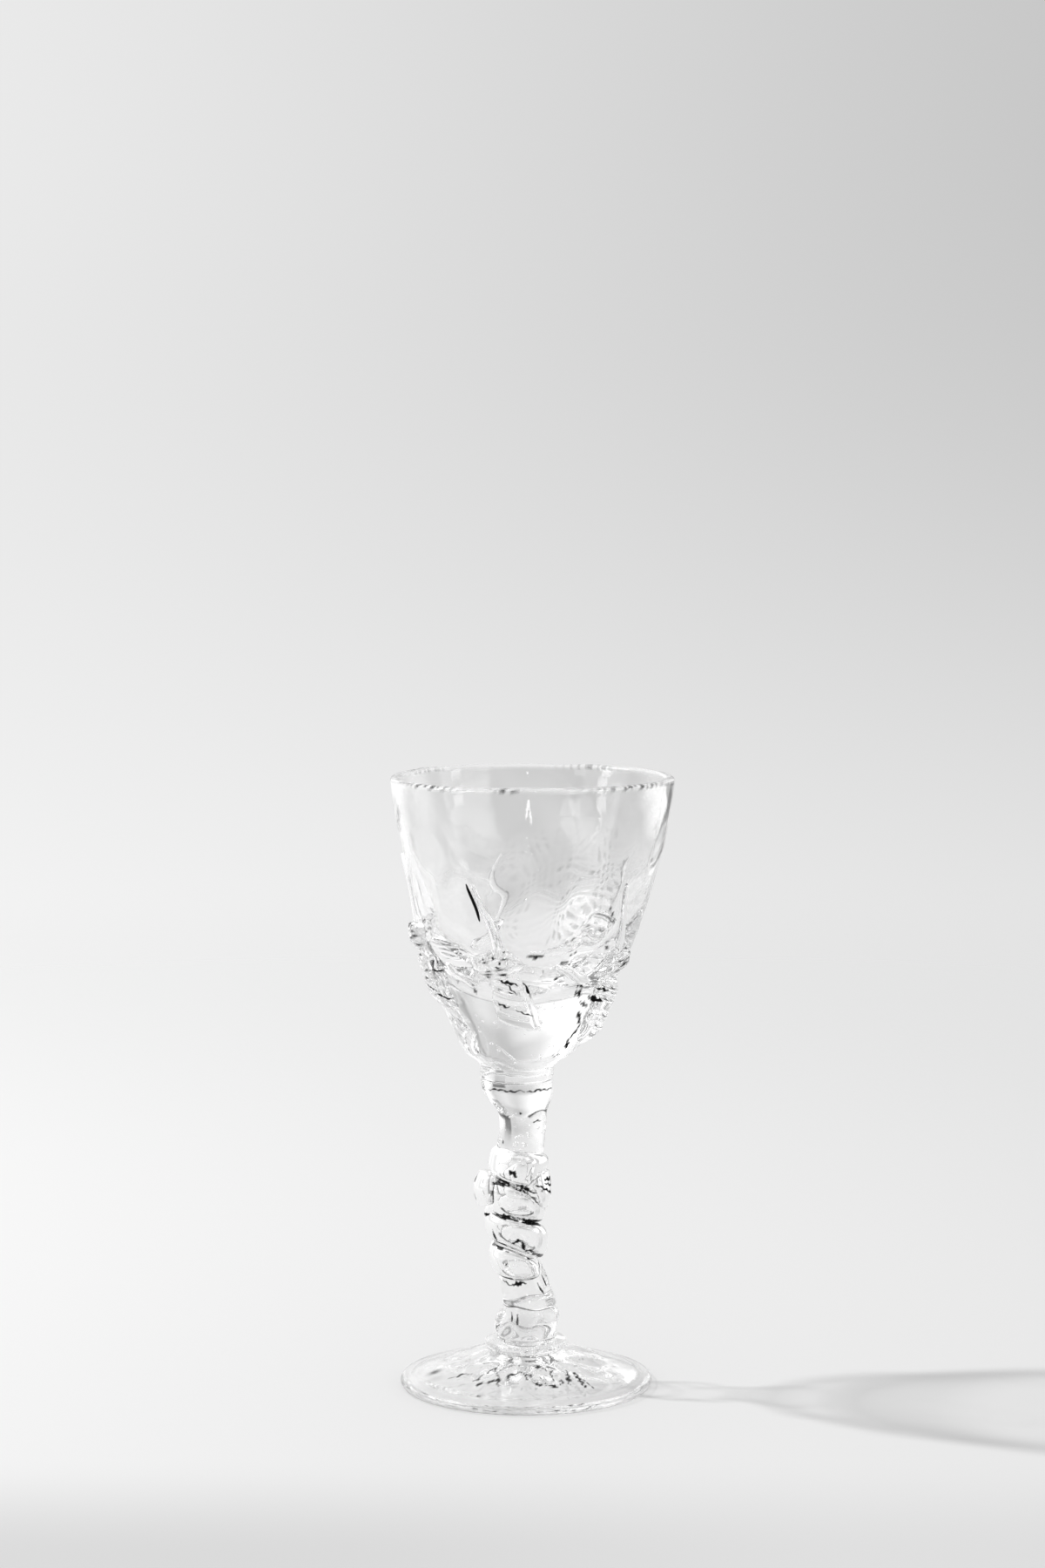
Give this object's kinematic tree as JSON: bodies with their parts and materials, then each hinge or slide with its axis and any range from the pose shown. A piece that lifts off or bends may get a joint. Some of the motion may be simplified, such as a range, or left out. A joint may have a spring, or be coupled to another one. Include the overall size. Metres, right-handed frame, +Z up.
{
  "type": "footed cocktail glass",
  "caption": "Hot-worked clear cocktail glass: conical foot, crooked stem wound with a vine band, round-bottomed bowl with a thick base and ribbed leaves.",
  "frame": {"origin": "on the table, below the centre of the rim", "axes": "+Z up through the rim; -Y is the side with the front leaf, which the picture shows; +X to the right of it"},
  "size_m": [0.0738, 0.0738, 0.16],
  "materials": {
    "clear_glass": "fire-polished, with small seeds"
  },
  "bodies": {
    "root": {"foot": "clear_glass", "foot_collar": "clear_glass", "stem_root": "clear_glass", "stem_core": "clear_glass", "stem_vine": "clear_glass", "neck": "clear_glass", "bowl": "clear_glass", "knuckle_left": "clear_glass", "knuckle_right": "clear_glass", "knuckle_back": "clear_glass", "leaf_front": "clear_glass", "leaf_right": "clear_glass", "leaf_back_right": "clear_glass", "leaf_back_left": "clear_glass", "leaf_left": "clear_glass", "knot_front": "clear_glass", "knot_right": "clear_glass", "knot_back_right": "clear_glass", "knot_back_left": "clear_glass", "knot_left": "clear_glass", "stalk_front": "clear_glass", "stalk_right": "clear_glass", "stalk_back_right": "clear_glass", "stalk_back_left": "clear_glass", "stalk_left": "clear_glass", "tendril_left": "clear_glass", "tendril_right": "clear_glass"}
  },
  "joints": []
}
